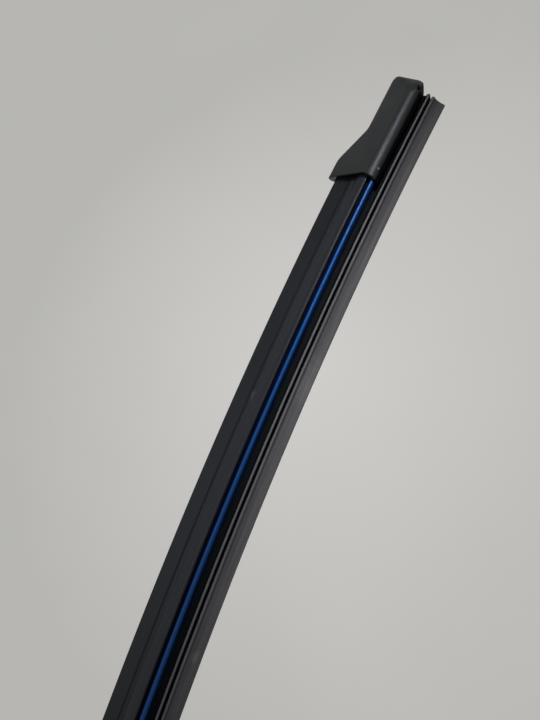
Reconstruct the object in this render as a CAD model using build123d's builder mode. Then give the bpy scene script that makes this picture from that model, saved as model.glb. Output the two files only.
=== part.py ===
from build123d import *
from math import atan2, cos, degrees, radians, sin, tan
import os

os.makedirs("parts", exist_ok=True)

# Sizes are in millimetres. X runs along the blade, Y across it and Z from the wiping lip to the spoiler.
# The origin is the middle of the pivot. Section heights are measured from the rails' mid-plane.

# Blade in its free bend, measured along the rails
blade_length = 600.0
bend_radius = 1537.0
pivot_height = 14.0

# Clearances
groove_clearance = 0.1
edge_clearance = 0.15
pocket_clearance = 0.2
butt_gap = 0.3
bore_clearance = 0.05

# Rails: coated spring strips with a rounded outer edge
rail_thickness = 1.5
beam_width = 11.0
rail_gap = 2.2
rail_setback = 1.0
rail_edge_facets = 12
notch_length = 3.0
notch_depth = 1.0
notch_inset = 21.0

# Rubber: head over the rails, jaw and flange under them, tilting web and the wedge with its shoulder
head_width = 5.2
head_height = 1.4
neck_width = 1.8
jaw_width = 5.0
jaw_height = 1.5
flange_width = 7.6
flange_depth = 3.55
flange_edge = 0.65
flange_bevel = 0.2
flange_slope = 0.15
web_width = 1.0
web_height = 0.5
shoulder_width = 6.0
shoulder_top_width = 5.8
shoulder_top_depth = 4.25
shoulder_bevel = 0.6
shoulder_depth = 5.125
shoulder_edge = 0.25
wedge_width = 4.4
wedge_depth = 5.65
wedge_hollow_width = 2.3
wedge_hollow_depth = 6.8
wedge_hollow_bevel = 0.7
lip_width = 0.7
rubber_depth = 8.7

# Spoiler: fin, moulded line, swelling base and bevelled base edge, standing on the rails
fin_height = 13.3
fin_tip_width = 1.1
fin_tip_bevel = 0.35
line_height = 7.05
line_width = 5.3
line_relief = 0.35
line_half_span = 0.95
swell_width = 8.9
swell_height = 4.6
nose_width = 10.9
nose_height = 2.3
nose_half_span = 0.7
nose_bevel = 0.22
foot_width = 9.0
spoiler_wall = 1.5
hollow_top = 5.4
hollow_top_width = 1.8
channel_clearance = 0.4
spoiler_insert = 6.0

# End cap: tall over the spoiler's end, a ramp, low over the rails' end, round nose
cap_length = 40.0
cap_overhang = 5.6
cap_width = 14.1
cap_rise = 2.4
cap_low_top = 10.0
cap_tall_length = 6.9
cap_ramp_length = 11.55
cap_ramp_radius = 6.0
cap_flank_angle = 23.9
cap_bulge_radius = 3.3
cap_top_bevel = 0.5
cap_crown_tilt = 40.0
cap_nose_length = 9.0
cap_nose_radius = 4.2
cap_tip_radius = 2.2
cap_chin_length = 7.1
mouth_hollow = 1.9
mouth_hollow_height = 3.2
lug_root = 0.3
cap_end_gap = 0.6
cap_core_roof = 8.4
cap_core_roof_width = 4.0
cap_core_foot_width = 10.4
claw_thickness = 1.2
claw_gap = 6.0

# Bridge that ties the two rails together inside each cap
bridge_sheet = 0.8
bridge_length = 6.0
bridge_inset = 10.0
bridge_foot_width = 1.6

# Connector base: clawed block on the rails with two cheeks
base_length = 54.0
base_wall = 1.4
base_floor = 1.1
claw_length = 11.0
cheek_thickness = 1.3
cheek_foot_length = 44.0
cheek_boss_radius = 5.4
base_bevel = 0.3
end_plate = 2.4

# Pivot tube: hollow rivet for a 3/16 inch arm pin
tube_bore = 4.86
tube_wall = 0.77
tube_head_radius = 4.5
tube_head_thickness = 0.7

# Hook adapter: drum and web between two walls, for a 9 x 3 mm hook
hook_width = 9.0
hook_thickness = 3.0
hook_side_clearance = 0.1
drum_radius = 4.4
adapter_wall = 1.0
adapter_side_gap = 0.15
adapter_front = 19.0
adapter_front_rise = 1.2
adapter_front_radius = 4.6
web_skin = 1.2
web_pocket_start = 7.0
peg_radius = 2.0
peg_height = 1.5
peg_reach = 13.0
tongue_width = 5.2
tongue_slot = 0.6
tongue_start = 8.5
adapter_bevel = 0.3

# Derived heights and half widths
rail_half = rail_thickness / 2
rail_outer = beam_width / 2
rail_inner = rail_gap / 2
rail_flat = rail_outer - rail_half - rail_inner
rail_length = blade_length - 2 * rail_setback
head_bottom = rail_half + groove_clearance
head_top = head_bottom + head_height
web_top = -flange_depth - flange_edge / 2 - flange_slope
channel_half = head_width / 2 + channel_clearance
slot_half = rail_outer + edge_clearance
slot_floor = -rail_half - groove_clearance
cap_half = cap_width / 2
cap_bottom = slot_floor - claw_thickness
cap_tall_top = fin_height + cap_rise
mouth_arc = blade_length / 2 + cap_overhang - cap_length
notch_arc = blade_length / 2 - notch_inset
tube_radius = tube_bore / 2 + tube_wall
hook_half = hook_width / 2 + hook_side_clearance
adapter_half = hook_half + adapter_wall
cheek_inner = adapter_half + adapter_side_gap
cheek_outer = cheek_inner + cheek_thickness
base_half = max(slot_half + base_wall, cheek_outer)
base_floor_bottom = head_top + channel_clearance
base_top = base_floor_bottom + base_floor
bend_axis = Axis((0, 0, -pivot_height - bend_radius), (0, 1, 0))


def across(arc):
    """Plane across the blade at a distance along the rails from the middle."""
    turn = arc / bend_radius
    centre = (bend_radius * sin(turn), 0, bend_radius * (cos(turn) - 1) - pivot_height)
    return Plane(origin=centre, x_dir=(0, 1, 0), z_dir=(cos(turn), 0, -sin(turn)))


def along(arc):
    """Plane that lies on the rails' mid-plane at a distance from the middle, its x along the blade."""
    cut = across(arc)
    return Plane(origin=cut.origin, x_dir=cut.z_dir, z_dir=cut.y_dir)


def bend(length):
    """Angle of the free bend over a length of the rails."""
    return degrees(length / bend_radius)


def block(half, bottom, top, mode=Mode.ADD):
    """Rectangle about the middle line of the open section, between two heights."""
    with Locations((0, (bottom + top) / 2)):
        Rectangle(2 * half, top - bottom, mode=mode)


def bevelled(points, bevels):
    """Line through a half section's points, its corners cut back by the bevels, and its mirror image."""
    corners = [Vector(*point) for point in points]
    path = [corners[0]]
    for before, corner, after, bevel in zip(corners, corners[1:], corners[2:], bevels):
        path.append(corner + (before - corner).normalized() * bevel)
        if bevel:
            path.append(corner + (after - corner).normalized() * bevel)
    path.append(corners[-1])
    Polyline(*path)
    mirror(about=Plane.YZ)


def spoiler_outline(plain=False):
    """Outer half of the spoiler's section, from the fin's tip to the edge of its foot."""
    line_half = line_width / 2
    nose_half = nose_width / 2
    lean = (nose_half - fin_tip_width / 2) / (fin_height - nose_height)
    under = nose_height - nose_half_span
    points = (
        (0, fin_height),
        (fin_tip_width / 2, fin_height),
        (line_half - line_relief - lean * line_half_span / 2, line_height + line_half_span),
        (line_half, line_height + line_half_span / 3),
        (line_half + lean * line_half_span / 2, line_height - line_half_span / 3),
        (line_half + line_half_span / 4, line_height - line_half_span),
        (swell_width / 2, swell_height),
        (nose_half, nose_height + nose_half_span / 2),
        (nose_half, under),
        (foot_width / 2, under),
        (foot_width / 2, rail_half),
        (0, rail_half),
    )
    bevels = (fin_tip_bevel, 0, 0, 0, 0, 0, nose_bevel, 0, 0, 0)
    bevelled(points, [0 if plain else bevel for bevel in bevels])


# Wiping rubber
with BuildPart() as wiper_rubber:
    with BuildSketch(across(-blade_length / 2)):
        with BuildLine():
            bevelled(
                (
                    (0, head_top),
                    (head_width / 2, head_top),
                    (head_width / 2, head_bottom),
                    (neck_width / 2, head_bottom),
                    (neck_width / 2, -rail_half),
                    (jaw_width / 2, -rail_half),
                    (jaw_width / 2, -rail_half - jaw_height),
                    (flange_width / 2, -flange_depth + flange_edge / 2),
                    (flange_width / 2, -flange_depth - flange_edge / 2),
                    (web_width / 2, web_top),
                    (web_width / 2, web_top - web_height),
                    (shoulder_top_width / 2, -shoulder_top_depth),
                    (shoulder_width / 2, -shoulder_depth + shoulder_edge / 2),
                    (shoulder_width / 2, -shoulder_depth - shoulder_edge / 2),
                    (wedge_width / 2, -wedge_depth),
                    (wedge_hollow_width / 2, -wedge_hollow_depth),
                    (lip_width / 2, -rubber_depth),
                    (0, -rubber_depth),
                ),
                (*[0] * 6, flange_bevel, flange_bevel, 0, 0, shoulder_bevel,
                 *[0] * 3, wedge_hollow_bevel, 0),
            )
        make_face()
    revolve(axis=bend_axis, revolution_arc=bend(blade_length))

# Spring rails
with BuildPart() as rail_front:
    with BuildSketch(across(-rail_length / 2)):
        with Locations((-rail_inner - rail_flat / 2, 0)):
            Rectangle(rail_flat, rail_thickness)
        with Locations((-rail_outer + rail_half, 0)):
            RegularPolygon(rail_half, rail_edge_facets, major_radius=False, rotation=180 / rail_edge_facets)
    revolve(axis=bend_axis, revolution_arc=bend(rail_length))
    with BuildSketch(along(notch_arc), along(-notch_arc)):
        with Locations((0, -rail_outer)):
            Rectangle(notch_length, 2 * notch_depth)
    extrude(amount=rail_thickness, both=True, mode=Mode.SUBTRACT)

with BuildPart() as rail_rear:
    mirror(rail_front.part, about=Plane.XZ)

# Bridges between the rails
bridge_start = blade_length / 2 - bridge_inset - bridge_length / 2
bridge_bottom = head_top + groove_clearance
with BuildPart() as rail_bridge_right:
    with BuildSketch(across(bridge_start)):
        block(channel_half + bridge_sheet, rail_half, bridge_bottom + bridge_sheet)
        block(channel_half + bridge_foot_width, rail_half, rail_half + bridge_sheet)
        block(channel_half, rail_half, bridge_bottom, Mode.SUBTRACT)
    revolve(axis=bend_axis, revolution_arc=bend(bridge_length))

with BuildPart() as rail_bridge_left:
    mirror(rail_bridge_right.part, about=Plane.YZ)

# Spoiler halves
spoiler_start = base_length / 2 + butt_gap
spoiler_end = mouth_arc + spoiler_insert
with BuildPart() as spoiler_right:
    with BuildSketch(across(spoiler_start)):
        with BuildLine():
            spoiler_outline()
        make_face()
        with BuildLine():
            Polyline(
                (0, hollow_top),
                (hollow_top_width / 2, hollow_top),
                (foot_width / 2 - spoiler_wall, base_floor_bottom),
                (foot_width / 2 - spoiler_wall, rail_half),
                (0, rail_half),
            )
            mirror(about=Plane.YZ)
        make_face(mode=Mode.SUBTRACT)
    revolve(axis=bend_axis, revolution_arc=bend(spoiler_end - spoiler_start))

with BuildPart() as spoiler_left:
    mirror(spoiler_right.part, about=Plane.YZ)

# End caps
cap_middle = across(mouth_arc + cap_length / 2)
cap_mouth = cap_middle.offset(-cap_length / 2)
cap_foot = cap_half + cap_bulge_radius * (tan(radians(45 + cap_flank_angle / 2)) - 1)
cap_crest = cap_foot - (cap_tall_top - cap_bottom) * tan(radians(cap_flank_angle))
cap_ramp_top = cap_tall_length - cap_length / 2
cap_ramp_foot = cap_ramp_top + cap_ramp_length
crown_lean = cos(radians(cap_crown_tilt))
cut_start = mouth_arc - butt_gap
cavity_end = blade_length / 2 + cap_end_gap
lug_inner = rail_outer - notch_depth + edge_clearance
lug_outer = slot_half + lug_root
shoulder_turn = 2 * degrees(atan2(cap_half - cap_nose_radius, cap_nose_length - cap_nose_radius))
shoulder_radius = cap_nose_radius + (cap_nose_length - cap_nose_radius) / sin(radians(shoulder_turn))
with BuildPart() as end_cap_right:
    with BuildSketch(cap_mouth):
        with BuildLine():
            FilletPolyline(
                (0, cap_tall_top),
                (cap_crest, cap_tall_top),
                (cap_foot, cap_bottom),
                (0, cap_bottom),
                radius=(0, cap_bulge_radius),
            )
            mirror(about=Plane.YZ)
        make_face()
    extrude(amount=cap_length)
    # Side profile: tall hollow mouth, ramp, low tip, and an underside raised clear of the rubber's end
    with BuildSketch(Plane(origin=cap_middle.origin, x_dir=cap_middle.z_dir, z_dir=-cap_middle.x_dir)):
        with BuildLine():
            FilletPolyline(
                (-cap_length / 2, 2 * cap_bottom),
                (cap_length / 2 - cap_chin_length, 2 * cap_bottom),
                (cap_length / 2 - cap_chin_length, 0),
                (cap_length / 2, 0),
                (cap_length / 2, cap_low_top),
                (cap_ramp_foot, cap_low_top),
                (cap_ramp_top, cap_tall_top),
                (-cap_length / 2, cap_tall_top),
                (-cap_length / 2 + mouth_hollow, mouth_hollow_height),
                radius=(0, 0, 0, cap_tip_radius, cap_tip_radius, cap_ramp_radius, cap_ramp_radius, 0, 0),
                close=True,
            )
        make_face()
    extrude(amount=cap_width, both=True, mode=Mode.INTERSECT)
    up = cap_middle.y_dir
    crown = end_cap_right.faces().filter_by(lambda face: face.normal_at().dot(up) > crown_lean)
    chamfer(crown.edges().filter_by(Axis.Y, reverse=True), cap_top_bevel)
    # Nose, round in plan: a shoulder arc on each side and a tip arc between them
    with BuildSketch(along(mouth_arc + cap_length / 2)):
        with BuildLine():
            nose_start = (cap_length / 2 - cap_nose_length, cap_half)
            shoulder = JernArc(nose_start, (1, 0), shoulder_radius, -shoulder_turn)
            JernArc(shoulder @ 1, shoulder % 1, cap_nose_radius, shoulder_turn - 90)
            Polyline(nose_start, (-cap_length / 2, cap_half), (-cap_length / 2, 0))
            mirror(about=Plane.XZ)
        make_face()
    extrude(amount=2 * cap_tall_top, both=True, mode=Mode.INTERSECT)
    # Pocket for the spoiler's end
    with BuildSketch(across(cut_start)):
        with BuildLine():
            spoiler_outline(plain=True)
        make_face()
        offset(amount=pocket_clearance, kind=Kind.INTERSECTION)
    revolve(axis=bend_axis, revolution_arc=bend(spoiler_end + butt_gap - cut_start), mode=Mode.SUBTRACT)
    # Core, rail slots and the gap that the rubber hangs through
    with BuildSketch(across(cut_start)):
        with BuildLine():
            Polyline(
                (0, cap_core_roof),
                (cap_core_roof_width / 2, cap_core_roof),
                (cap_core_foot_width / 2, rail_half),
                (0, rail_half),
            )
            mirror(about=Plane.YZ)
        make_face()
        block(slot_half, slot_floor, rail_half)
        block(claw_gap / 2, 2 * cap_bottom, slot_floor)
    revolve(axis=bend_axis, revolution_arc=bend(cavity_end - cut_start), mode=Mode.SUBTRACT)
    # Lugs in the rails' notches
    with BuildSketch(across(notch_arc - notch_length / 2 + edge_clearance)):
        for side in (-1, 1):
            with Locations((side * (lug_inner + lug_outer) / 2, (slot_floor + rail_half) / 2)):
                Rectangle(lug_outer - lug_inner, rail_half - slot_floor)
    revolve(axis=bend_axis, revolution_arc=bend(notch_length - 2 * edge_clearance))

with BuildPart() as end_cap_left:
    mirror(end_cap_right.part, about=Plane.YZ)

# Connector base
with BuildPart() as connector_base:
    with BuildSketch(across(-base_length / 2)):
        block(base_half, cap_bottom, base_top)
        block(slot_half, slot_floor, rail_half, Mode.SUBTRACT)
        block(channel_half, rail_half, base_floor_bottom, Mode.SUBTRACT)
        block(claw_gap / 2, cap_bottom, slot_floor, Mode.SUBTRACT)
    revolve(axis=bend_axis, revolution_arc=bend(base_length))
    # Opening between the two pairs of claws
    with BuildSketch(across(-base_length / 2 + claw_length)):
        block(2 * base_half, 2 * cap_bottom, rail_half)
    revolve(axis=bend_axis, revolution_arc=bend(base_length - 2 * claw_length), mode=Mode.SUBTRACT)
    # Cheeks with the pivot hole
    with BuildSketch(Plane.XZ):
        with BuildLine():
            CenterArc((0, 0), cheek_boss_radius, 0, 360)
            Line((-cheek_foot_length / 2, base_floor_bottom - pivot_height),
                 (cheek_foot_length / 2, base_floor_bottom - pivot_height))
        make_hull()
        Circle(tube_radius + bore_clearance, mode=Mode.SUBTRACT)
    extrude(amount=cheek_outer, both=True)
    # Room between the cheeks for the adapter
    with BuildSketch(Plane.XZ):
        with Locations((0, base_top - pivot_height)):
            Rectangle(base_length, 2 * pivot_height, align=(Align.CENTER, Align.MIN))
    extrude(amount=cheek_inner, both=True, mode=Mode.SUBTRACT)
    chamfer(connector_base.faces().filter_by(Axis.Y).sort_by(Axis.Y)[0].outer_wire().edges(), base_bevel)
    chamfer(connector_base.faces().filter_by(Axis.Y).sort_by(Axis.Y)[-1].outer_wire().edges(), base_bevel)
    # End plates that close the spoilers' inner ends
    with BuildSketch(across(-base_length / 2), across(base_length / 2 - end_plate)):
        with BuildLine():
            spoiler_outline()
        make_face()
        block(channel_half, rail_half, base_floor_bottom, Mode.SUBTRACT)
    revolve(axis=bend_axis, revolution_arc=bend(end_plate))

# Pivot tube
with BuildPart() as pivot_tube:
    with BuildSketch(Plane.XZ):
        Circle(tube_radius)
    extrude(amount=cheek_outer, both=True)
    with BuildSketch(Plane.XZ.offset(cheek_outer), Plane.XZ.offset(-cheek_outer - tube_head_thickness)):
        Circle(tube_head_radius)
    extrude(amount=tube_head_thickness)
    with BuildSketch(Plane.XZ):
        Circle(tube_bore / 2)
    extrude(amount=cheek_outer + tube_head_thickness, both=True, mode=Mode.SUBTRACT)

# Hook adapter
with BuildPart() as hook_adapter:
    with BuildSketch(Plane.XZ):
        with BuildLine():
            CenterArc((0, 0), drum_radius + hook_thickness, 0, 360)
            CenterArc((adapter_front, adapter_front_rise), adapter_front_radius, 0, 360)
        make_hull()
    extrude(amount=adapter_half, both=True)
    chamfer(hook_adapter.faces().sort_by(Axis.Y)[0].edges(), adapter_bevel)
    chamfer(hook_adapter.faces().sort_by(Axis.Y)[-1].edges(), adapter_bevel)
    # Room for the hook round the drum and over and under the web
    with BuildSketch(Plane.XZ):
        Rectangle(4 * adapter_front, 4 * adapter_front)
        Circle(drum_radius, mode=Mode.SUBTRACT)
        with Locations((adapter_front, 0)):
            Rectangle(2 * adapter_front, 2 * drum_radius, mode=Mode.SUBTRACT)
    extrude(amount=hook_half, both=True, mode=Mode.SUBTRACT)
    with BuildSketch(Plane.XZ):
        Circle(tube_radius + bore_clearance)
    extrude(amount=adapter_half, both=True, mode=Mode.SUBTRACT)
    # Pocket in the web, open at the front
    with BuildSketch(Plane.YZ.offset(web_pocket_start)):
        Rectangle(2 * (hook_half - web_skin), 2 * (drum_radius - web_skin))
    extrude(amount=2 * adapter_front, mode=Mode.SUBTRACT)
    # Sprung tongue with the locating peg
    with BuildSketch(Plane.XY.offset(drum_radius - 2 * web_skin)):
        for side in (-1, 1):
            with Locations((tongue_start + adapter_front, side * tongue_width / 2)):
                Rectangle(2 * adapter_front, tongue_slot)
    extrude(amount=2 * web_skin + adapter_wall, mode=Mode.SUBTRACT)
    with BuildSketch(Plane.XY.offset(drum_radius - web_skin)):
        with Locations((peg_reach, 0)):
            Circle(peg_radius)
    extrude(amount=web_skin + peg_height)

for piece, name in (
    (wiper_rubber, "wiper_rubber"),
    (rail_front, "rail_front"),
    (rail_rear, "rail_rear"),
    (rail_bridge_right, "rail_bridge_right"),
    (rail_bridge_left, "rail_bridge_left"),
    (spoiler_right, "spoiler_right"),
    (spoiler_left, "spoiler_left"),
    (end_cap_right, "end_cap_right"),
    (end_cap_left, "end_cap_left"),
    (connector_base, "connector_base"),
    (pivot_tube, "pivot_tube"),
    (hook_adapter, "hook_adapter"),
):
    piece.part.label = name
    export_step(piece.part, f"parts/{name}.step")
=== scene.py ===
from math import atan2, ceil, cos, hypot, pi, radians, sin

import bmesh
import bpy
from mathutils import Matrix, Vector
from mathutils.kdtree import KDTree


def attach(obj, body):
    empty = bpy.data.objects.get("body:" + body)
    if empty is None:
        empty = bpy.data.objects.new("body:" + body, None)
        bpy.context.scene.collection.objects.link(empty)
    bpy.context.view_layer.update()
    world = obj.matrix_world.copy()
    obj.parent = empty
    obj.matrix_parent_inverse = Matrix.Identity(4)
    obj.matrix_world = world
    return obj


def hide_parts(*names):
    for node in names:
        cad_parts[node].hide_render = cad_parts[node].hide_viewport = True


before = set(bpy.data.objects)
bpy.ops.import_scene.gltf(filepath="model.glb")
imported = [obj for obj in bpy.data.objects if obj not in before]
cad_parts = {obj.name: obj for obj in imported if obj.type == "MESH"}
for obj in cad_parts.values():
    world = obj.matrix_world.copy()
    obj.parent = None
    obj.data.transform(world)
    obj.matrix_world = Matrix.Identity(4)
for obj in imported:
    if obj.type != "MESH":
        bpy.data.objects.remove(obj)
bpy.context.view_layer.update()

# Sizes are in millimetres, as in the part's source, and points turn into metres when they are placed.
# X runs along the blade, Y across it and Z from the wiping lip to the spoiler.
MM = 0.001

# Blade in its free bend, measured along the rails from the middle
BLADE_LENGTH = 600.0
BEND_RADIUS = 1537.0
PIVOT_HEIGHT = 14.0
SPOILER_START = 27.3
SPOILER_END = 271.6

# Rails
RAIL_HALF = 0.75
RAIL_OUTER = 5.5
RAIL_INNER = 1.1
RAIL_END = 299.0
NOTCH_ARC = 279.0
NOTCH_LENGTH = 3.0
NOTCH_FLOOR = 4.5

# Half sections as corners: distance from the middle, height above the rails' mid-plane, reach of rounding
RUBBER_SECTION = (
    (0, 2.25, 0),
    (2.6, 2.25, 0.3),
    (2.6, 0.85, 0),
    (0.9, 0.85, 0),
    (0.9, -0.75, 0),
    (2.5, -0.75, 0),
    (2.5, -2.25, 0.08),
    (3.8, -3.225, 0.2),
    (3.8, -3.875, 0.2),
    (0.5, -4.025, 0.05),
    (0.5, -4.525, 0.05),
    (2.9, -4.25, 0.64),
    (3.0, -5.0, 0.1),
    (3.0, -5.25, 0.12),
    (2.2, -5.65, 0.15),
    (1.15, -6.8, 0.9),
    (0.35, -8.7, 0.05),
    (0, -8.7, 0),
)
SPOILER_SECTION = (
    (0, 13.3, 0),
    (0.55, 13.3, 0.35),
    (2.0884, 8.0, 0.12),
    (2.65, 7.3667, 0.25),
    (2.8616, 6.7333, 0.2),
    (2.8875, 6.1, 0.2),
    (4.45, 4.6, 0.8),
    (5.45, 2.65, 0.4),
    (5.45, 1.6, 0.4),
    (4.5, 1.6, 0.05),
    (4.5, 0.75, 0),
    (3.0, 0.75, 0),
    (3.0, 2.65, 0),
    (0.9, 5.4, 0),
    (0, 5.4, 0),
)

# Fineness of the long parts, and the angles in degrees over which edges stay sharp
ARC_STEPS = 5
STATION_STEP = 4.0
NOTCH_SLIT = 0.01
SECTION_SHARP = 35
COPY_SHARP = 30

# Caps: arcs of their middle and of the nose's start, and the nose's lowest rounded height
CAP_MIDDLE = 285.6
NOSE_START = 297.0
NOSE_FLOOR = -0.1

# Rounding of the nose's rims, with cosines that tell outward faces and lengthwise edges from others
JOIN_REACH = 0.002
NOSE_EDGE = 0.7
RIM_ANGLE = 20
RIM_REACH = 1.4
RIM_PASSES = 14
RIM_SMOOTHING = 0.5
OUTWARD_COSINE = -0.2
LENGTHWISE_COSINE = 0.97

# Spoiler's finish: heights, and the scuff's distance along and height
RECESS_TOP = (1.5, 1.7)
BASE_EDGE_HEIGHT = 2.2
SWELL_HEIGHT = 4.9
CREASE_HEIGHT = 7.85
SCUFF_ARC = 191
SCUFF_HEIGHT = 6.6
ELASTOMER = ((0.0097, 0.01, 0.0125, 1), (0.0151, 0.0155, 0.019, 1))
# The swell's lighter colour is painted light.
SWELL_PAINTED_LIGHT = (0.019, 0.0195, 0.0235, 1)
# The recess's dark blue colour is painted shade with a painted reflection of the blue rail.
RECESS_PAINTED_SHADE = (0.0008, 0.0025, 0.012, 1)

# Rubber's finish: where its graphite coat starts and is full, the coat on the flange and shoulder edges being
# partly painted highlight, the height of a painted shade line under the shoulder, and the marks' distance
# along and height
FLANGE_REACH = (3.4, 3.6)
FLANGE_TOP = (-3.15, -3.35)
SHOULDER_REACH = (1.8, 2.4)
SHOULDER_TOP = (-4.35, -4.6)
WEDGE_TOP = (-5.5, -5.7)
UNDERCUT_HEIGHT = -5.45
RUBBED_ARC = 201.5
SMUDGE_ARC = 116
SMUDGE_HEIGHT = -7
GRAPHITE_AND_HIGHLIGHT = ((0.054, 0.05, 0.0535, 1), (0.092, 0.085, 0.091, 1))
STREAK_COLOUR = (0.13, 0.12, 0.128, 1)

# Rails' finish, with painted shade on the upper side under the spoiler
SHADED_TOP_HEIGHT = (0, 0.35)
LACQUER = ((0.002, 0.04, 0.155, 1), (0.004, 0.052, 0.2, 1))
TOP_SHADE_COLOUR = (0.001, 0.012, 0.05, 1)

# Plastic and paint: grey tones, a cool tint of the sheen that is a painted reflection colour, painted shade
# on the caps' underside, and their pale fleck, its place without a distance across
CAP_TONES = (0.003, 0.006)
ADAPTER_TONES = (0.014, 0.022)
BASE_TONES = (0.012, 0.02)
PLASTIC_SHEEN = 0.34
COOL_REFLECTION_TINT = (0.88, 0.94, 1, 1)
MOULD_ROUNDING = 0.7
CHIN_SHADE_REACH = (6.2, 5.8)
CHIN_SHADE_HEIGHT = (0.4, 0.1)
FLECK_PLACE = (270.0, 0.0, -0.6)
FLECK_RADIUS = 0.4

# Range that most of a noise falls in
NOISE_RANGE = (0.3, 0.7)

# Camera, from a fit to the photograph's outline, with its near limit in metres
CAMERA_PLACE = (181.2, -145.3, -75.2)
CAMERA_FORWARD = (0.1416, 0.9259, 0.3502)
CAMERA_UP = (0.9464, -0.2303, 0.2264)
CAMERA_LENS = 25.0
CAMERA_SENSOR = 36.0
CAMERA_NEAR = 0.01

# Stage, in metres, apart from the centre and fade of its painted pool of light, in millimetres
FLOOR_HEIGHT = -0.4
STAGE_SIDE = 6.0
STAGE_FRONT = -6.0
WALL_PLACE = 2.0
WALL_TOP = 4.0
SWEEP_RADIUS = 1.0
SWEEP_STEPS = 16
STAGE_BRIGHT = (0.69, 0.68, 0.655, 1)
STAGE_DIM = (0.52, 0.515, 0.49, 1)
STAGE_CENTRE = (550.0, 2000.0, 560.0)
STAGE_FADE = 1700.0
STAGE_GLOW = 0.9

# Room: the colour seen beyond the stage, and the light that it gives
BACKDROP = (0.475, 0.47, 0.447, 1)
ROOM_COLOUR = (0.95, 0.98, 1, 1)
ROOM_LIGHT = 0.09

# Lights: name, place, target and size in metres, power in watts, spread in degrees
LIGHT_COLOUR = (0.92, 0.97, 1.0)
LIGHTS = (
    ("key", (0.45, -0.37, -0.09), (0.21, 0, -0.035), (0.06, 0.28), 0.15, 30),
    ("window", (0.66, -0.12, 0.46), (0.303, 0, -0.038), (0.04, 0.04), 0.0004, 7),
    ("overhead", (0.03, -0.4, 0.45), (0.06, 0, -0.03), (0.45, 0.35), 0.29, 80),
    ("left", (-0.3, -0.6, 0.08), (-0.16, 0, -0.03), (0.1, 0.25), 0.12, 40),
    ("rear", (0, 0.75, 0.05), (0, 0, -0.03), (0.6, 0.3), 0.55, 60),
)


def bent(arc, across, height):
    """Point in metres at a distance along the bend, a distance across and a height above the rails."""
    turn = arc / BEND_RADIUS
    reach = BEND_RADIUS + height
    return Vector((reach * sin(turn), across, reach * cos(turn) - BEND_RADIUS - PIVOT_HEIGHT)) * MM


def unbent(point):
    """Distance along, distance across and height, in millimetres, of a point in metres."""
    x, y, z = point / MM
    rise = z + BEND_RADIUS + PIVOT_HEIGHT
    return atan2(x, rise) * BEND_RADIUS, y, hypot(x, rise) - BEND_RADIUS


def rounded(corners):
    """Points of a line through the corners, each inner corner with a reach turned by an arc."""
    places = [Vector(corner[:2]) for corner in corners]
    points = [places[0]]
    for before, place, after, corner in zip(places, places[1:], places[2:], corners[1:]):
        reach = corner[2]
        if not reach:
            points.append(place)
            continue
        to_before = (before - place).normalized()
        to_after = (after - place).normalized()
        half = to_before.angle(to_after) / 2
        centre = place + (to_before + to_after).normalized() * reach / cos(half)
        start = place + to_before * reach - centre
        end = place + to_after * reach - centre
        turns = [start.slerp(end, step / ARC_STEPS) * start.length for step in range(ARC_STEPS + 1)]
        points += [centre + turn for turn in turns]
    points.append(places[-1])
    return points


def whole(half):
    """Closed section from a half line that starts and ends on the middle line."""
    return half + [Vector((-point.x, point.y)) for point in reversed(half[1:-1])]


def spread(start, end):
    """Evenly spaced stations from start to end, about a step apart."""
    count = ceil((end - start) / STATION_STEP)
    return [start + (end - start) * k / count for k in range(count + 1)]


def finish_mesh(name, mesh, sharp):
    """Object of a mesh with smooth faces, sharp edges, and its straightened places as an attribute."""
    mesh.update()
    run = mesh.attributes.new("run", "FLOAT_VECTOR", "POINT")
    for vertex, value in zip(mesh.vertices, run.data):
        value.vector = unbent(vertex.co)
    mesh.polygons.foreach_set("use_smooth", [True] * len(mesh.polygons))
    mesh.set_sharp_from_angle(angle=radians(sharp))
    piece = bpy.data.objects.new(name, mesh)
    bpy.context.scene.collection.objects.link(piece)
    return piece


def carried(name, stations, section):
    """Solid that carries a section along the bend, where section(station) gives a closed line."""
    rings = [section(arc) for arc in stations]
    size = len(rings[0])
    places = [bent(arc, point.x, point.y) for arc, ring in zip(stations, rings) for point in ring]
    faces = [tuple(range(size)), tuple(reversed(range(len(places) - size, len(places))))]
    for first in range(0, len(places) - size, size):
        for k in range(size):
            after = (k + 1) % size
            faces.append((first + after, first + k, first + size + k, first + size + after))
    mesh = bpy.data.meshes.new(name)
    mesh.from_pydata(places, [], faces)
    return finish_mesh(name, mesh, SECTION_SHARP)


def rail_section(side):
    """Section of the rail on one side, its outer edge full round, with the notches of the cap's lugs."""
    edge = RAIL_OUTER - RAIL_HALF
    turns = 3 * ARC_STEPS
    arc_points = [
        Vector((edge + RAIL_HALF * sin(pi * k / turns), RAIL_HALF * cos(pi * k / turns)))
        for k in range(turns + 1)
    ]
    line = [Vector((RAIL_INNER, RAIL_HALF))] + arc_points + [Vector((RAIL_INNER, -RAIL_HALF))]

    def section(arc):
        limit = NOTCH_FLOOR if abs(abs(arc) - NOTCH_ARC) < NOTCH_LENGTH / 2 else RAIL_OUTER
        ring = [Vector((side * min(point.x, limit), point.y)) for point in line]
        return ring if side > 0 else ring[::-1]

    return section


def rail_stations():
    """Stations of a rail, doubled at the ends of its notches."""
    ends = [s * (NOTCH_ARC + e * NOTCH_LENGTH / 2) for s in (-1, 1) for e in (-1, 1)]
    extra = [end + step for end in ends for step in (-NOTCH_SLIT, NOTCH_SLIT)]
    return sorted(spread(-RAIL_END, RAIL_END) + extra)


def looks_out(face):
    """Whether a face of a cap's nose looks outwards, not into the cavity."""
    middle = face.calc_center_median()
    turn = CAP_MIDDLE / BEND_RADIUS
    ahead = Vector((cos(turn) * (1 if middle.x > 0 else -1), 0, -sin(turn)))
    sideways = Vector((0, 1 if middle.y > 0 else -1, 0))
    return min(face.normal.dot(ahead), face.normal.dot(sideways)) > OUTWARD_COSINE


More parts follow.
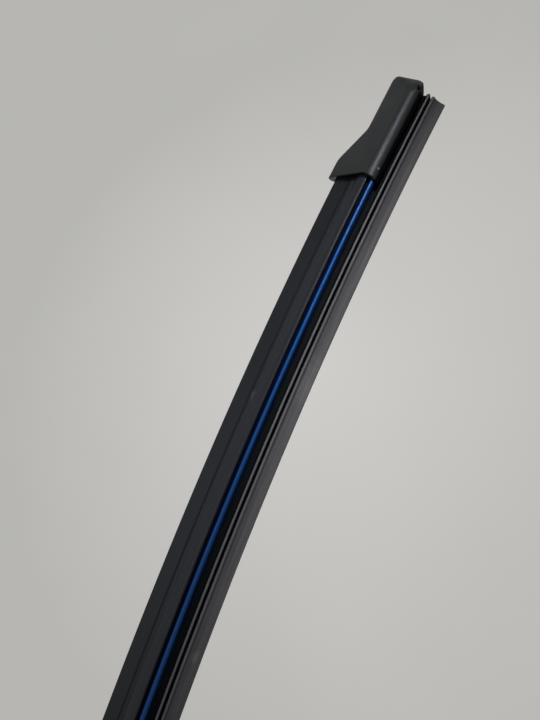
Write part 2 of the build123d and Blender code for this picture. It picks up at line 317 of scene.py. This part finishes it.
def halve_edges(solid, start, ahead):
    """Cut the triangles beyond a plane in two until none has an edge longer than the nose's."""
    while True:
        long_edges = [
            (edge.calc_length(), edge) for edge in solid.edges
            if edge.calc_length() > NOSE_EDGE * MM
            and all((vertex.co - start).dot(ahead) > -JOIN_REACH * MM for vertex in edge.verts)
        ]
        if not long_edges:
            return
        for _, edge in sorted(long_edges, key=lambda pair: -pair[0]):
            sides = [
                (face, next(vertex for vertex in face.verts if vertex not in edge.verts))
                for face in edge.link_faces
            ]
            middle = bmesh.utils.edge_split(edge, edge.verts[0], 0.5)[1]
            for face, corner in sides:
                bmesh.utils.face_split(face, middle, corner)


def soften_nose(solid):
    """Round the outer rims of a cap's nose: a fine mesh there, smoothed within reach of the rims."""
    side = 1 if next(iter(solid.verts)).co.x > 0 else -1
    start = bent(side * NOSE_START, 0, 0)
    ahead = (bent(side * (NOSE_START + 1), 0, 0) - start).normalized()
    everything = solid.verts[:] + solid.edges[:] + solid.faces[:]
    bmesh.ops.bisect_plane(solid, geom=everything, plane_co=start, plane_no=ahead)
    bmesh.ops.triangulate(solid, faces=solid.faces[:])
    halve_edges(solid, start, ahead)
    solid.normal_update()
    nose = {
        vertex for vertex in solid.verts
        if (vertex.co - start).dot(ahead) > JOIN_REACH * MM
        and unbent(vertex.co)[2] > NOSE_FLOOR
        and all(looks_out(face) for face in vertex.link_faces)
    }
    rims = KDTree(2 * len(solid.edges))
    for edge in solid.edges:
        first, second = edge.verts
        lengthwise = abs((second.co - first.co).normalized().dot(ahead)) > LENGTHWISE_COSINE
        sharp = edge.calc_face_angle_signed(0) > radians(RIM_ANGLE)
        if nose.issuperset(edge.verts) and sharp and not lengthwise:
            rims.insert(first.co, 0)
            rims.insert(second.co, 0)
    rims.balance()
    near = [
        vertex for vertex in solid.verts
        if vertex in nose and rims.find(vertex.co)[2] < RIM_REACH * MM
    ]
    axes = {"use_axis_x": True, "use_axis_y": True, "use_axis_z": True}
    for _ in range(RIM_PASSES):
        bmesh.ops.smooth_vert(solid, verts=near, factor=RIM_SMOOTHING, **axes)


def smooth_copy(name, node):
    """Piece of a cap's own form, shaded smooth between sharp edges, the rims of its nose rounded."""
    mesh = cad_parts[node].data.copy()
    mesh.materials.clear()
    joined = bmesh.new()
    joined.from_mesh(mesh)
    bmesh.ops.remove_doubles(joined, verts=joined.verts, dist=JOIN_REACH * MM)
    joined.normal_update()
    soften_nose(joined)
    joined.to_mesh(mesh)
    joined.free()
    piece = finish_mesh(name, mesh, COPY_SHARP)
    flats = piece.modifiers.new("flats", "WEIGHTED_NORMAL")
    flats.keep_sharp = True
    return piece


class Finish:
    """Node tree of one material, with short calls for the nodes that the finishes share.

    Its place is in millimetres: along, across and above the bend where the piece has its straightened
    places, or else in the part's frame.
    """

    def __init__(self, name, straightened):
        self.material = bpy.data.materials.new(name)
        self.material.use_nodes = True
        tree = self.material.node_tree
        self.nodes = tree.nodes
        self.links = tree.links
        self.shader = self.nodes["Principled BSDF"]
        if straightened:
            self.place = self.add("ShaderNodeAttribute", attribute_name="run").outputs["Vector"]
        else:
            values = {"Vector": self.add("ShaderNodeTexCoord").outputs["Object"], "Scale": 1 / MM}
            self.place = self.add("ShaderNodeVectorMath", values, operation="SCALE").outputs["Vector"]

    def add(self, kind, values=None, **settings):
        node = self.nodes.new(kind)
        for name, value in settings.items():
            setattr(node, name, value)
        for name, value in (values or {}).items():
            self.feed(node.inputs[name], value)
        return node

    def feed(self, socket, value):
        if isinstance(value, bpy.types.NodeSocket):
            self.links.new(value, socket)
        else:
            socket.default_value = value

    def parts(self):
        """Distance along, distance across and height of the place."""
        return self.add("ShaderNodeSeparateXYZ", {"Vector": self.place}).outputs

    def stretched(self, scale):
        return self.add("ShaderNodeMapping", {"Vector": self.place, "Scale": scale}).outputs["Vector"]

    def distance(self, place, centre):
        node = self.add("ShaderNodeVectorMath", {0: place, 1: centre}, operation="DISTANCE")
        return node.outputs["Value"]

    def noise(self, scale, detail, roughness, stretch=(1, 1, 1)):
        values = {"Scale": scale, "Detail": detail, "Roughness": roughness}
        values["Vector"] = self.stretched(stretch)
        return self.add("ShaderNodeTexNoise", values).outputs["Fac"]

    def level(self, value, low, high, to_low=0.0, to_high=1.0):
        """Value carried from one range to another, and held at its ends."""
        values = {"Value": value, "From Min": low, "From Max": high, "To Min": to_low, "To Max": to_high}
        return self.add("ShaderNodeMapRange", values).outputs["Result"]

    def band(self, value, centre, half, soft):
        """One within a half width of the centre, falling to zero over a soft edge."""
        away = self.math("ABSOLUTE", self.math("SUBTRACT", value, centre))
        return self.level(away, half, half + soft, to_low=1, to_high=0)

    def mix(self, share, first, second):
        node = self.add("ShaderNodeMix", data_type="RGBA")
        self.feed(node.inputs["Factor"], share)
        self.feed(node.inputs[6], first)
        self.feed(node.inputs[7], second)
        return node.outputs[2]

    def lay(self, under, over, mask, share):
        """Colour with another laid over it by a share of the mask."""
        return self.mix(self.math("MULTIPLY", mask, share), under, over)

    def math(self, operation, first, second=0):
        node = self.add("ShaderNodeMath", operation=operation)
        self.feed(node.inputs[0], first)
        self.feed(node.inputs[1], second)
        return node.outputs[0]

    def bump(self, height, depth, normal=None):
        node = self.add("ShaderNodeBump", {"Height": height, "Distance": depth * MM})
        if normal:
            self.links.new(normal, node.inputs["Normal"])
        return node.outputs["Normal"]

    def soft_edges(self, radius):
        return self.add("ShaderNodeBevel", {"Radius": radius * MM}, samples=8).outputs["Normal"]

    def shade(self, **sockets):
        for name, value in sockets.items():
            self.feed(self.shader.inputs[name.replace("_", " ")], value)
        return self.material


def grey(value, blue=0.0):
    """Neutral colour, or one with a little more blue."""
    return (value, value * (1 + blue / 3), value * (1 + blue), 1)


def spoiler_finish():
    """Matte black elastomer: grain, lines along it, dust, a scuff, painted light on the swell, painted shade
    with a painted blue reflection in the recess over the rail, painted shade in the crease, and a painted
    highlight on the base edge.
    """
    finish = Finish("spoiler_elastomer", True)
    cloud = finish.noise(scale=0.11, detail=4, roughness=0.6, stretch=(0.25, 1, 1))
    lines = finish.noise(scale=2.4, detail=3, roughness=0.6, stretch=(0.01, 1, 1))
    grain = finish.noise(scale=5.0, detail=3, roughness=0.6)
    arc, _, height = finish.parts()
    # Painted shade: the recess over the rail is dark, with a painted blue reflection, and almost without
    # sheen.
    out_of_shade = finish.level(height, *RECESS_TOP)
    crease = finish.band(height, CREASE_HEIGHT, half=0.3, soft=0.3)
    # Painted light: the swell is given a lighter colour.
    swell = finish.band(height, SWELL_HEIGHT, half=1.5, soft=0.6)
    colour = finish.mix(cloud, *ELASTOMER)
    colour = finish.mix(swell, colour, SWELL_PAINTED_LIGHT)
    specks = finish.noise(scale=1.3, detail=4, roughness=0.7, stretch=(0.5, 1, 1))
    colour = finish.lay(colour, grey(0.06), mask=finish.level(specks, 0.66, 0.8), share=0.12)
    scuff_along = finish.band(arc, SCUFF_ARC, half=0.6, soft=1.5)
    scuff = finish.math("MULTIPLY", scuff_along, finish.band(height, SCUFF_HEIGHT, half=0.3, soft=0.5))
    broken = finish.level(finish.noise(scale=3.0, detail=4, roughness=0.7), 0.42, 0.6)
    scuff = finish.math("MULTIPLY", scuff, broken)
    colour = finish.lay(colour, grey(0.16), mask=scuff, share=0.2)
    colour = finish.mix(out_of_shade, RECESS_PAINTED_SHADE, colour)
    normal = finish.bump(grain, depth=0.012)
    normal = finish.bump(lines, depth=0.02, normal=normal)
    roughness = finish.level(cloud, *NOISE_RANGE, to_low=0.4, to_high=0.5)
    # Painted shade in the crease and a painted highlight on the base edge, both through the sheen.
    clear = finish.math("SUBTRACT", out_of_shade, finish.math("MULTIPLY", crease, 0.9))
    sheen = finish.level(clear, 0, 1, to_low=0.01, to_high=0.08)
    base_edge = finish.band(height, BASE_EDGE_HEIGHT, half=0.4, soft=0.3)
    sheen = finish.math("MAXIMUM", sheen, finish.math("MULTIPLY", base_edge, 0.17))
    return finish.shade(Base_Color=colour, Roughness=roughness, Normal=normal, Specular_IOR_Level=sheen)


def rubber_finish():
    """Black rubber with a graphite coat on its wedge, lighter flange and shoulder edges that are partly that
    coat and partly painted highlight, a painted shade line under the shoulder, streaks, a rubbed place and a
    smudge.
    """
    finish = Finish("wiping_rubber", True)
    cloud = finish.noise(scale=0.16, detail=5, roughness=0.65, stretch=(0.2, 1, 1))
    lines = finish.noise(scale=3.0, detail=3, roughness=0.6, stretch=(0.012, 1, 1))
    grain = finish.noise(scale=6.0, detail=3, roughness=0.6)
    arc, across, height = finish.parts()
    reach = finish.math("ABSOLUTE", across)
    # The flange and shoulder edges are lighter partly from the graphite coat and partly as a painted
    # highlight.
    flange = finish.math("MULTIPLY", finish.level(reach, *FLANGE_REACH), finish.level(height, *FLANGE_TOP))
    shoulder_top = finish.level(height, *SHOULDER_TOP)
    shoulder = finish.math("MULTIPLY", finish.level(reach, *SHOULDER_REACH), shoulder_top)
    wedge = finish.level(height, *WEDGE_TOP)
    # Painted shade: a darker line under the shoulder.
    undercut_shade = finish.band(height, UNDERCUT_HEIGHT, half=0.12, soft=0.12)
    coat_and_painted_light = finish.math("MAXIMUM", finish.math("MAXIMUM", flange, shoulder), wedge)
    coat_and_painted_light = finish.math("SUBTRACT", coat_and_painted_light, finish.math("MULTIPLY", undercut_shade, 0.4))
    graphite = finish.mix(cloud, *GRAPHITE_AND_HIGHLIGHT)
    streaks = finish.level(lines, 0.45, 0.7, to_low=0, to_high=0.6)
    graphite = finish.mix(streaks, graphite, STREAK_COLOUR)
    uneven = finish.noise(scale=0.5, detail=4, roughness=0.6)
    patch = finish.math("MULTIPLY", finish.band(arc, RUBBED_ARC, half=4, soft=6), uneven)
    smudge_along = finish.band(arc, SMUDGE_ARC, half=0.6, soft=1.6)
    smudge = finish.math("MULTIPLY", smudge_along, finish.band(height, SMUDGE_HEIGHT, half=0.3, soft=0.7))
    rubbed = finish.math("MULTIPLY", finish.math("MAXIMUM", patch, smudge), wedge)
    graphite = finish.lay(graphite, grey(0.2), mask=rubbed, share=0.35)
    colour = finish.mix(coat_and_painted_light, grey(0.005, blue=0.2), graphite)
    normal = finish.bump(grain, depth=0.012)
    normal = finish.bump(lines, depth=0.02, normal=normal)
    roughness = finish.level(cloud, *NOISE_RANGE, to_low=0.45, to_high=0.55)
    # More sheen on the flange and shoulder edges is a painted highlight.
    sheen = finish.level(height, *reversed(WEDGE_TOP), to_low=0.12, to_high=0.3)
    sheen = finish.math("MAXIMUM", finish.math("MULTIPLY", coat_and_painted_light, sheen), 0.03)
    return finish.shade(Base_Color=colour, Roughness=roughness, Normal=normal, Specular_IOR_Level=sheen)


def rail_finish():
    """Blue lacquer on spring steel: a coloured metal sheen under a thin coat, with slight ripples, and
    painted shade with a thinner coat on the upper side under the spoiler.
    """
    finish = Finish("blue_lacquer", True)
    cloud = finish.noise(scale=0.25, detail=4, roughness=0.6, stretch=(0.15, 1, 1))
    ripple = finish.noise(scale=0.6, detail=2, roughness=0.5, stretch=(0.2, 1, 1))
    _, _, height = finish.parts()
    # Painted shade: the upper side under the spoiler is darker and has a thinner coat.
    shaded_top = finish.level(height, *SHADED_TOP_HEIGHT)
    colour = finish.mix(shaded_top, finish.mix(cloud, *LACQUER), TOP_SHADE_COLOUR)
    roughness = finish.level(cloud, *NOISE_RANGE, to_low=0.52, to_high=0.6)
    coat = finish.level(shaded_top, 0, 1, to_low=0.2, to_high=0.05)
    normal = finish.bump(ripple, depth=0.01)
    finish.shade(Base_Color=colour, Metallic=0.9, Roughness=roughness, Normal=normal)
    return finish.shade(Coat_Weight=coat, Coat_Roughness=0.3)


def plastic_finish(name, tones, on_cap=False):
    """Black plastic or paint: fine eroded texture, satin sheen with a painted cool reflection tint, a little
    dust, and on a cap painted shade underneath and a fleck.
    """
    finish = Finish(name, on_cap)
    cloud = finish.noise(scale=0.2, detail=4, roughness=0.6)
    grain = finish.noise(scale=4.0, detail=4, roughness=0.65)
    colour = finish.mix(cloud, *[grey(tone, blue=0.05) for tone in tones])
    specks = finish.noise(scale=1.6, detail=4, roughness=0.7)
    colour = finish.lay(colour, grey(0.1), mask=finish.level(specks, 0.68, 0.8), share=0.15)
    sheen = PLASTIC_SHEEN
    if on_cap:
        _, across, height = finish.parts()
        reach = finish.math("ABSOLUTE", across)
        # Painted shade: a cap's underside is darker and loses its sheen.
        chin_shade = finish.math("MULTIPLY", finish.level(reach, *CHIN_SHADE_REACH), finish.level(height, *CHIN_SHADE_HEIGHT))
        colour = finish.mix(chin_shade, colour, grey(0.002))
        sheen = finish.level(chin_shade, 0, 1, to_low=PLASTIC_SHEEN, to_high=0.02)
        away = finish.distance(finish.stretched((1, 0, 1)), FLECK_PLACE)
        fleck = finish.level(away, FLECK_RADIUS, FLECK_RADIUS / 2)
        fleck = finish.math("MULTIPLY", fleck, finish.level(across, 0, -1))
        colour = finish.mix(fleck, colour, grey(0.18))
    roughness = finish.level(cloud, *NOISE_RANGE, to_low=0.44, to_high=0.5)
    normal = finish.bump(grain, depth=0.02, normal=finish.soft_edges(MOULD_ROUNDING))
    finish.shade(Base_Color=colour, Roughness=roughness, Normal=normal)
    # The cool tint of the sheen is a painted reflection colour.
    return finish.shade(Specular_IOR_Level=sheen, Specular_Tint=COOL_REFLECTION_TINT)


def steel_finish(name):
    """Plated steel with fine brush lines."""
    finish = Finish(name, False)
    cloud = finish.noise(scale=0.5, detail=4, roughness=0.6)
    lines = finish.noise(scale=8.0, detail=3, roughness=0.6, stretch=(1, 0.05, 1))
    colour = finish.mix(cloud, grey(0.38, blue=0.03), grey(0.52, blue=0.03))
    roughness = finish.level(lines, *NOISE_RANGE, to_low=0.22, to_high=0.4)
    normal = finish.bump(lines, depth=0.01)
    return finish.shade(Base_Color=colour, Roughness=roughness, Normal=normal, Metallic=1.0)


def seen_rays(tree):
    """One for rays that show the background itself, zero for the light that it gives off."""
    path = tree.nodes.new("ShaderNodeLightPath").outputs
    share = path["Is Camera Ray"]
    for mirrored in ("Is Glossy Ray", "Is Transmission Ray"):
        either = tree.nodes.new("ShaderNodeMath")
        either.operation = "MAXIMUM"
        tree.links.new(share, either.inputs[0])
        tree.links.new(path[mirrored], either.inputs[1])
        share = either.outputs[0]
    return share


def stage_finish():
    """Pale matt paint with a faint unevenness and a painted pool of light, brightest behind the blade,
    glowing where it is seen or mirrored.
    """
    finish = Finish("stage_paint", False)
    cloud = finish.noise(scale=0.0012, detail=3, roughness=0.5)
    uneven = finish.level(cloud, *NOISE_RANGE, to_low=-0.05, to_high=0.05)
    # Painted pool of light: the colour is brightest around the centre and dims with distance.
    away = finish.distance(finish.place, STAGE_CENTRE)
    far = finish.math("ADD", finish.level(away, 0, STAGE_FADE), uneven)
    colour = finish.mix(far, STAGE_BRIGHT, STAGE_DIM)
    glow = finish.add("ShaderNodeEmission", {"Color": colour, "Strength": 1.0}).outputs[0]
    share = finish.math("MULTIPLY", seen_rays(finish.material.node_tree), STAGE_GLOW)
    both = finish.add("ShaderNodeMixShader", {"Fac": share})
    finish.links.new(finish.shader.outputs[0], both.inputs[1])
    finish.links.new(glow, both.inputs[2])
    finish.links.new(both.outputs[0], finish.nodes["Material Output"].inputs["Surface"])
    return finish.shade(Base_Color=colour, Roughness=0.9, Specular_IOR_Level=0.1)


def stand_for(piece, node, material):
    """The piece takes a node's place, body, slot and finish."""
    piece.data.materials.append(material)
    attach(piece, "blade")
    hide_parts(node)


def dress_node(node, material):
    """The node keeps its own shape and gets a finish."""
    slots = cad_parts[node].data.materials
    slots.clear()
    slots.append(material)


def build_stage():
    """Floor that sweeps up into a back wall."""
    bow = [pi / 2 * k / SWEEP_STEPS for k in range(SWEEP_STEPS + 1)]
    line = [(STAGE_FRONT, FLOOR_HEIGHT)]
    line += [
        (WALL_PLACE - SWEEP_RADIUS * (1 - sin(turn)), FLOOR_HEIGHT + SWEEP_RADIUS * (1 - cos(turn)))
        for turn in bow
    ]
    line.append((WALL_PLACE, WALL_TOP))
    places = [(side * STAGE_SIDE, y, z) for y, z in line for side in (-1, 1)]
    faces = [(2 * k, 2 * k + 1, 2 * k + 3, 2 * k + 2) for k in range(len(line) - 1)]
    mesh = bpy.data.meshes.new("stage")
    mesh.from_pydata(places, [], faces)
    mesh.polygons.foreach_set("use_smooth", [True] * len(faces))
    mesh.materials.append(stage_finish())
    stage = bpy.data.objects.new("stage", mesh)
    bpy.context.scene.collection.objects.link(stage)


def softbox(name, place, target, size, power, beam):
    """Soft light from a rectangle."""
    lamp = bpy.data.lights.new(name, "AREA")
    lamp.shape = "RECTANGLE"
    lamp.size, lamp.size_y = size
    lamp.energy = power
    lamp.color = LIGHT_COLOUR
    lamp.spread = radians(beam)
    light = bpy.data.objects.new(name, lamp)
    light.location = place
    light.rotation_euler = (Vector(target) - Vector(place)).to_track_quat("-Z", "Y").to_euler()
    light.visible_camera = False
    bpy.context.scene.collection.objects.link(light)


def build_light():
    """Weak light from the room, the backdrop's colour where it is seen or mirrored, and the soft lights."""
    world = bpy.data.worlds.new("room")
    world.use_nodes = True
    nodes = world.node_tree.nodes
    links = world.node_tree.links
    light = nodes["Background"]
    light.inputs["Color"].default_value = ROOM_COLOUR
    light.inputs["Strength"].default_value = ROOM_LIGHT
    backdrop = nodes.new("ShaderNodeBackground")
    backdrop.inputs["Color"].default_value = BACKDROP
    both = nodes.new("ShaderNodeMixShader")
    links.new(seen_rays(world.node_tree), both.inputs["Fac"])
    links.new(light.outputs[0], both.inputs[1])
    links.new(backdrop.outputs[0], both.inputs[2])
    links.new(both.outputs[0], nodes["World Output"].inputs["Surface"])
    bpy.context.scene.world = world
    for light_values in LIGHTS:
        softbox(*light_values)


def build_camera():
    """Camera at the photograph's place and angle."""
    camera = bpy.data.cameras.new("camera")
    camera.lens = CAMERA_LENS
    camera.sensor_width = CAMERA_SENSOR
    camera.clip_start = CAMERA_NEAR
    eye = bpy.data.objects.new("camera", camera)
    back = -Vector(CAMERA_FORWARD).normalized()
    right = Vector(CAMERA_UP).cross(back).normalized()
    turn = Matrix((right, back.cross(right), back)).transposed()
    eye.matrix_world = Matrix.Translation(Vector(CAMERA_PLACE) * MM) @ turn.to_4x4()
    bpy.context.scene.collection.objects.link(eye)
    bpy.context.scene.camera = eye


# Long parts
rubber_ring = whole(rounded(RUBBER_SECTION))
rubber = carried("wiping_strip", spread(-BLADE_LENGTH / 2, BLADE_LENGTH / 2), lambda arc: rubber_ring)
stand_for(rubber, "wiper_rubber", rubber_finish())

spoiler_ring = whole(rounded(SPOILER_SECTION))
elastomer = spoiler_finish()
for node, side in (("spoiler_right", 1), ("spoiler_left", -1)):
    ends = sorted((side * SPOILER_START, side * SPOILER_END))
    fin = carried("fin_" + node.split("_")[1], spread(*ends), lambda arc: spoiler_ring)
    stand_for(fin, node, elastomer)

lacquer = rail_finish()
for node, side in (("rail_front", -1), ("rail_rear", 1)):
    strip = carried("spring_" + node.split("_")[1], rail_stations(), rail_section(side))
    stand_for(strip, node, lacquer)

# Caps, smooth where their solids are round
cap_plastic = plastic_finish("cap_plastic", CAP_TONES, on_cap=True)
for side in ("right", "left"):
    stand_for(smooth_copy("cover_" + side, "end_cap_" + side), "end_cap_" + side, cap_plastic)

# Pieces whose solids have the right shape
dress_node("hook_adapter", plastic_finish("adapter_plastic", ADAPTER_TONES))
dress_node("connector_base", plastic_finish("base_paint", BASE_TONES))
steel = steel_finish("plated_steel")
for node in ("rail_bridge_right", "rail_bridge_left", "pivot_tube"):
    dress_node(node, steel)

# Surroundings
build_stage()
build_light()
build_camera()
bpy.context.scene.view_settings.view_transform = "Standard"
